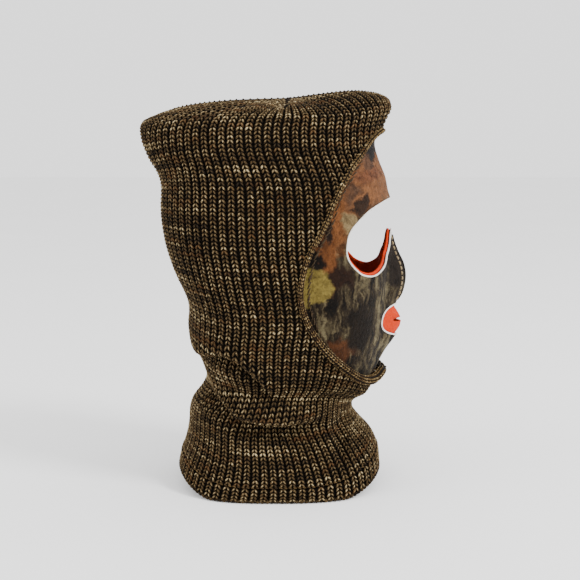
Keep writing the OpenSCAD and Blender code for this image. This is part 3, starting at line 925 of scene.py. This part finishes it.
def cut_cloth(outlines, spacing):
    """Triangles of a flat cloth between its outer outline and its holes, in rows and angles."""
    loops = [(o - FACE_CENTRE) * FLAT_SCALE for o in outlines]
    outer = loops[0]
    low, high = outer.min(0), outer.max(0)
    v, u = np.arange(low[0], high[0], spacing * 0.87), np.arange(low[1], high[1], spacing)
    grid = np.array([(y, x + (spacing / 2 if n % 2 else 0)) for n, y in enumerate(v) for x in u])
    edge = np.concatenate(loops)
    clear = np.array([np.hypot(*(edge - g).T).min() for g in grid]) > spacing * 0.55
    keep = inside_polygon(grid, outer) & clear
    for hole in loops[1:]:
        keep &= ~inside_polygon(grid, hole)
    points = np.concatenate([edge, grid[keep]])
    constraints, start = [], 0
    for loop in loops:
        n = len(loop)
        constraints += [(start + i, start + (i + 1) % n) for i in range(n)]
        start += n
    result = delaunay_2d_cdt([Vector(p) for p in points], constraints, [], 0, 1e-5)
    flat, triangles = np.array([tuple(p) for p in result[0]]), np.array(result[2])
    middle = flat[triangles].mean(1)
    keep = inside_polygon(middle, outer)
    for hole in loops[1:]:
        keep &= ~inside_polygon(middle, hole)
    used, triangles = np.unique(triangles[keep], return_inverse=True)
    return flat[used] / FLAT_SCALE + FACE_CENTRE, triangles.reshape(-1, 3)


def cloth_layer(name, outlines, spacing, top, bottom, shape, material):
    """A sheet of cloth with both faces and closed edges; shape(rows, angles, depth) places its points."""
    places, triangles = cut_cloth(outlines, spacing)
    outer, inner = shape(places[:, 0], places[:, 1], top), shape(places[:, 0], places[:, 1], bottom)
    a, b, c = (outer[triangles[:, k]] for k in range(3))
    facing = (np.cross(b - a, c - a) * outward(a)).sum(-1)
    triangles = np.where((facing < 0)[:, None], triangles[:, ::-1], triangles)
    points = np.concatenate([outer, inner])
    both = np.concatenate([triangles, triangles[:, ::-1] + len(outer)])
    return add_arrays(name, points, edge_walls(triangles, len(outer)), both, material)


# How far the lips of the mouth stand forward
LIPS = 3


def panel_shape(s, a, depth):
    return face(s, a, depth, LIPS)


def lining_shape(s, a, depth):
    """The lining follows the panel, and stands forward between the lips of the mouth."""
    p = face(s, a, depth, LIPS)
    bulge = bell(p[..., 0] / 21) * bell((p[..., 2] - MOUTH_Z) / 13)
    p[..., 1] -= 2.4 * np.sqrt(bulge)
    return p


def outline_places(outline, depth):
    return place_on_front(outline[:, 0], outline[:, 1], depth)


def outer_outline():
    return FACE_CENTRE + (edge_places - FACE_CENTRE) * TUCK


PANEL_HOLES = [outline_places(offset_outline(hole, RIM_W * 0.6), PANEL_TOP) for hole in (EYE, MOUTH)]
LINING_HOLES = [outline_places(hole, LINING_TOP) for hole in (LINING_EYE, SLIT)]
piece(cloth_layer(
    "camo_panel", [outer_outline(), *PANEL_HOLES], 2.0, PANEL_TOP, PANEL_BOTTOM, panel_shape, CAMO,
), "camo_fleece", "face_panel")
piece(cloth_layer(
    "orange_lining", [outer_outline(), *LINING_HOLES], 2.4, LINING_TOP, LINING_BOTTOM, lining_shape, ORANGE,
), "orange_fleece", "face_lining")


def cut_edge(name, outline, node):
    """Pale edge of the cut fleece: a flattened roll with a little waver, like the cut itself."""
    places = outline_places(offset_outline(outline, RIM_W * 0.45), PANEL_TOP)
    path = panel_shape(places[:, 0], places[:, 1], PANEL_TOP + 0.2)
    radii = 0.75 + RNG.normal(scale=0.04, size=len(path))
    piece(tube(name, path, radii, outward(path), 1.15, 10, WHITE), "cut_edge", node)


cut_edge("eye_cut_edge", EYE, "eye_rim")
cut_edge("mouth_cut_edge", MOUTH, "mouth_rim")

# ---------------------------------------------------------------- seams and stitching

NOSE_LOW, NOSE_HIGH = MOUTH_Z + MOUTH_HALF_H + 4, TONGUE_Z - 6
TOPSTITCH_X = 5
# Radii along a stitch of thread, from end to end
STITCH_RADII = np.array([0.4, 0.75, 0.85, 0.85, 0.75, 0.4])


def on_panel(x, z, depth):
    """Points of the panel given by their width and height."""
    x, z = np.broadcast_arrays(np.asarray(x, float), np.asarray(z, float))
    places = place_on_front(x, z, PANEL_TOP)
    return panel_shape(places[..., 0], places[..., 1], depth)


def thread_piece(name, centres, radii, material, slot, node, sides=THREAD_SIDES, normals=None):
    """Strands laid on the mask, rounded at both ends."""
    normals = outward(centres) if normals is None else normals
    points, quads, triangles = strands(centres, normals, radii, sides)
    return piece(add_arrays(name, points, quads, triangles, material), slot, node)


def topstitches(name, x, node):
    """A row of separate stitches beside the nose seam, each dipping into the fleece at its ends."""
    length, pitch = 3.2, 4.6
    count = int((NOSE_HIGH - NOSE_LOW) / pitch)
    share = np.linspace(-0.5, 0.5, 6)
    z = NOSE_LOW + (np.arange(count)[:, None] + 0.5) * pitch + share * length
    dip = 1.1 * (2 * np.abs(share)) ** 3
    centres = on_panel(x + 0 * z, z, PANEL_TOP - 0.25 + dip)
    thread_piece(name, centres, STITCH_RADII, THREAD, "topstitch_thread", node)


topstitches("topstitch_left", -TOPSTITCH_X, "nose_topstitch_left")
topstitches("topstitch_right", TOPSTITCH_X, "nose_topstitch_right")


def nose_seam():
    """The dart down the nose: a narrow pinched ridge."""
    z = np.linspace(NOSE_LOW, NOSE_HIGH, 60)[None]
    centres = on_panel(0 * z, z, PANEL_TOP - 0.1)
    radii = 1.3 * np.sin(np.linspace(0.25, math.pi - 0.25, 60)) ** 0.3
    thread_piece("nose_dart", centres, radii, CAMO, "camo_fleece", "nose_dart_seam", 10)


nose_seam()


SEAM = plain_fleece_material("seam_thread", srgb(28, 20, 12), srgb(70, 54, 34))


def panel_seam():
    """Seam stitches that catch the fleece just inside the rolled edge."""
    count = 150
    pick = np.linspace(0, EDGE_COUNT, count, endpoint=False).astype(int)
    share = np.linspace(0, 1, 5)
    lanes = [edge_point(0.905 + 0.025 * t, PANEL_TOP - 0.5 + 0.9 * abs(2 * t - 1) ** 2) for t in share]
    centres = np.stack([np.roll(lane, -round(2 * t), 0)[pick] for lane, t in zip(lanes, share)], 1)
    radii = np.array([0.3, 0.5, 0.55, 0.5, 0.3])
    thread_piece("panel_seam_stitches", centres, radii, SEAM, "seam_yarn", "panel_seam_thread")


panel_seam()


def crown_seams():
    """Sunken seam lines over the crown with whipped stitches, and the turned edges inside."""
    long_path = np.concatenate([
        spline(BACK_ARM, np.linspace(0, len(BACK_ARM) - 1, 60)),
        spline(FRONT_ARM, np.linspace(len(FRONT_ARM) - 1, 0, 60))[1:],
    ])
    arm = spline(SIDE_ARM, np.linspace(0, len(SIDE_ARM) - 1, 28))
    cross = np.concatenate([(arm * [-1, 1, 1])[::-1], arm[1:]])
    for name, path, node in (("long", long_path, "crown_seam_long"), ("cross", cross, "crown_seam_cross")):
        up = np.zeros_like(path) + [0, 0, 1]
        taper = np.sin(np.linspace(0.3, math.pi - 0.3, len(path))) ** 0.4
        fold = path[None] - [0, 0, 1.7]
        # The turned edges are coloured with the near-black painted shade of the knit ground.
        thread_piece(f"crown_fold_{name}", fold, 1.8 * taper, GROUND_PAINTED_SHADE, "seam_yarn", node, 10, up[None])
        along = unit(np.gradient(path, axis=0))
        side = np.cross(along, [0, 0, 1.0])
        pick = np.arange(2, len(path) - 2, 2)
        across = np.linspace(-1, 1, 5)
        centres = path[pick][:, None] + across[None, :, None] * (side * 2.2 + along * 1.0)[pick][:, None]
        centres[..., 2] += 0.2 - 1.6 * across**2
        radii = np.array([0.4, 0.7, 0.8, 0.7, 0.4])
        whip = strands(centres, np.zeros_like(centres) + [0, 0, 1], radii, THREAD_SIDES)
        tone = np.repeat(RNG.normal(0.5, 0.1, len(pick)), len(radii) * THREAD_SIDES)
        piece(add_arrays(f"crown_whip_{name}", *whip, SEAM_YARN, plain_yarn(tone, 0.6)), "seam_yarn", node)


crown_seams()

# ---------------------------------------------------------------- neck hem

# The turned hem is a little thicker than the knit. Least height of its rolled bottom edge's middle
HEM_LIFT, HEM_EDGE_Z = 0.3, 1.6
piece(knit_ground_painted_shade("hem_ground", np.arange(0, hem_course + 0.01), HEM_LIFT), "rib_knit", "neck_hem")


def hem_stitches():
    course, wale = np.meshgrid(np.arange(0.6, hem_course + 0.4), np.arange(WALES), indexing="ij")
    course, wale = course.ravel(), wale.ravel().astype(float)
    piece(stitches("hem_stitches", hood, course, wale, YARN, HEM_LIFT), "rib_knit", "neck_hem")


def hem_turned_edge():
    """Strands that carry each rib round the bottom edge, from the outer face to the inner one."""
    wales = np.arange(WALES * 2) / 2
    share = np.linspace(0, 1, 7)
    c = np.full((len(wales), len(share)), 0.1)
    w = np.broadcast_to(wales[:, None], c.shape)
    centres = hood.at(c, w, -KNIT_T / 2 + (KNIT_T / 2 + HEM_LIFT) * np.cos(math.pi * share))
    centres[..., 2] = np.maximum(centres[..., 2] - HEM_EDGE_Z * np.sin(math.pi * share), HEM_EDGE_Z)
    tone = np.repeat(RNG.normal(0.45, 0.08, len(wales)), len(share) * STRAND_SIDES)
    edge = strands(centres, np.zeros_like(centres) - [0, 0, 1], 1.5)
    piece(add_arrays("hem_turned_edge", *edge, YARN, plain_yarn(tone, 0.7)), "rib_knit", "neck_hem")


def hem_seam():
    """The stitch line that holds the turned hem up: one slanting stitch in each gap between wales."""
    count = WALES * 2
    share = np.linspace(-0.5, 0.5, 5)
    w = np.arange(count)[:, None] / 2 + 0.25 + share * 0.38
    c = hem_course + 0.55 + share * 0.25 + 0 * w
    centres = hood.at(c, w, -0.2 - 1.2 * (2 * np.abs(share)) ** 2)
    radii = np.array([0.4, 0.7, 0.75, 0.7, 0.4])
    seam = strands(centres, hood.sample(hood.normals, c, w), radii, THREAD_SIDES)
    tone = np.repeat(RNG.normal(0.5, 0.1, count), len(radii) * THREAD_SIDES)
    piece(add_arrays("hem_seam", *seam, EDGE_YARN_PAINTED_LIGHT, plain_yarn(tone, 0.6)), "seam_yarn", "hem_stitch")


hem_stitches()
hem_turned_edge()
hem_seam()

# ---------------------------------------------------------------- stage


def area_light(name, location, size, power, target=(0, 0, 0.18)):
    light = bpy.data.objects.new(name, bpy.data.lights.new(name, "AREA"))
    light.data.size, light.data.energy = size, power
    light.location = location
    light.rotation_mode = "QUATERNION"
    light.rotation_quaternion = (Vector(target) - Vector(location)).to_track_quat("-Z", "Y")
    bpy.context.scene.collection.objects.link(light)


def make_stage():
    """A wide pale floor under an even white sky, with a key light and a weaker one from behind."""
    world = bpy.data.worlds.new("studio")
    bpy.context.scene.world = world
    world.use_nodes = True
    sky = world.node_tree.nodes["Background"].inputs
    sky["Color"].default_value, sky["Strength"].default_value = (1, 1, 1, 1), 1.8
    half, cells = 6.0 / MM, 12
    line = np.linspace(-half, half, cells + 1)
    x, y = np.meshgrid(line, line, indexing="ij")
    index = np.arange((cells + 1) ** 2).reshape(cells + 1, cells + 1)
    quads = np.stack([index[:-1, :-1], index[1:, :-1], index[1:, 1:], index[:-1, 1:]], -1).reshape(-1, 4)
    s = Shader("stage", 0.9, specular=0.1)
    pale = s.ramp(s.noise(3), (0, srgb(246, 246, 246)), (1, srgb(250, 250, 250)))
    material = s.finish(pale, s.bump(s.noise(200), 0.0001))
    points = np.stack([x, y, 0 * x], -1).reshape(-1, 3)
    add_arrays("floor", points, quads, NO_TRIANGLES, material)
    area_light("key", (-1.0, -1.5, 1.7), 0.6, 52)
    area_light("rim", (-0.6, 1.6, 0.9), 0.8, 10)


make_stage()
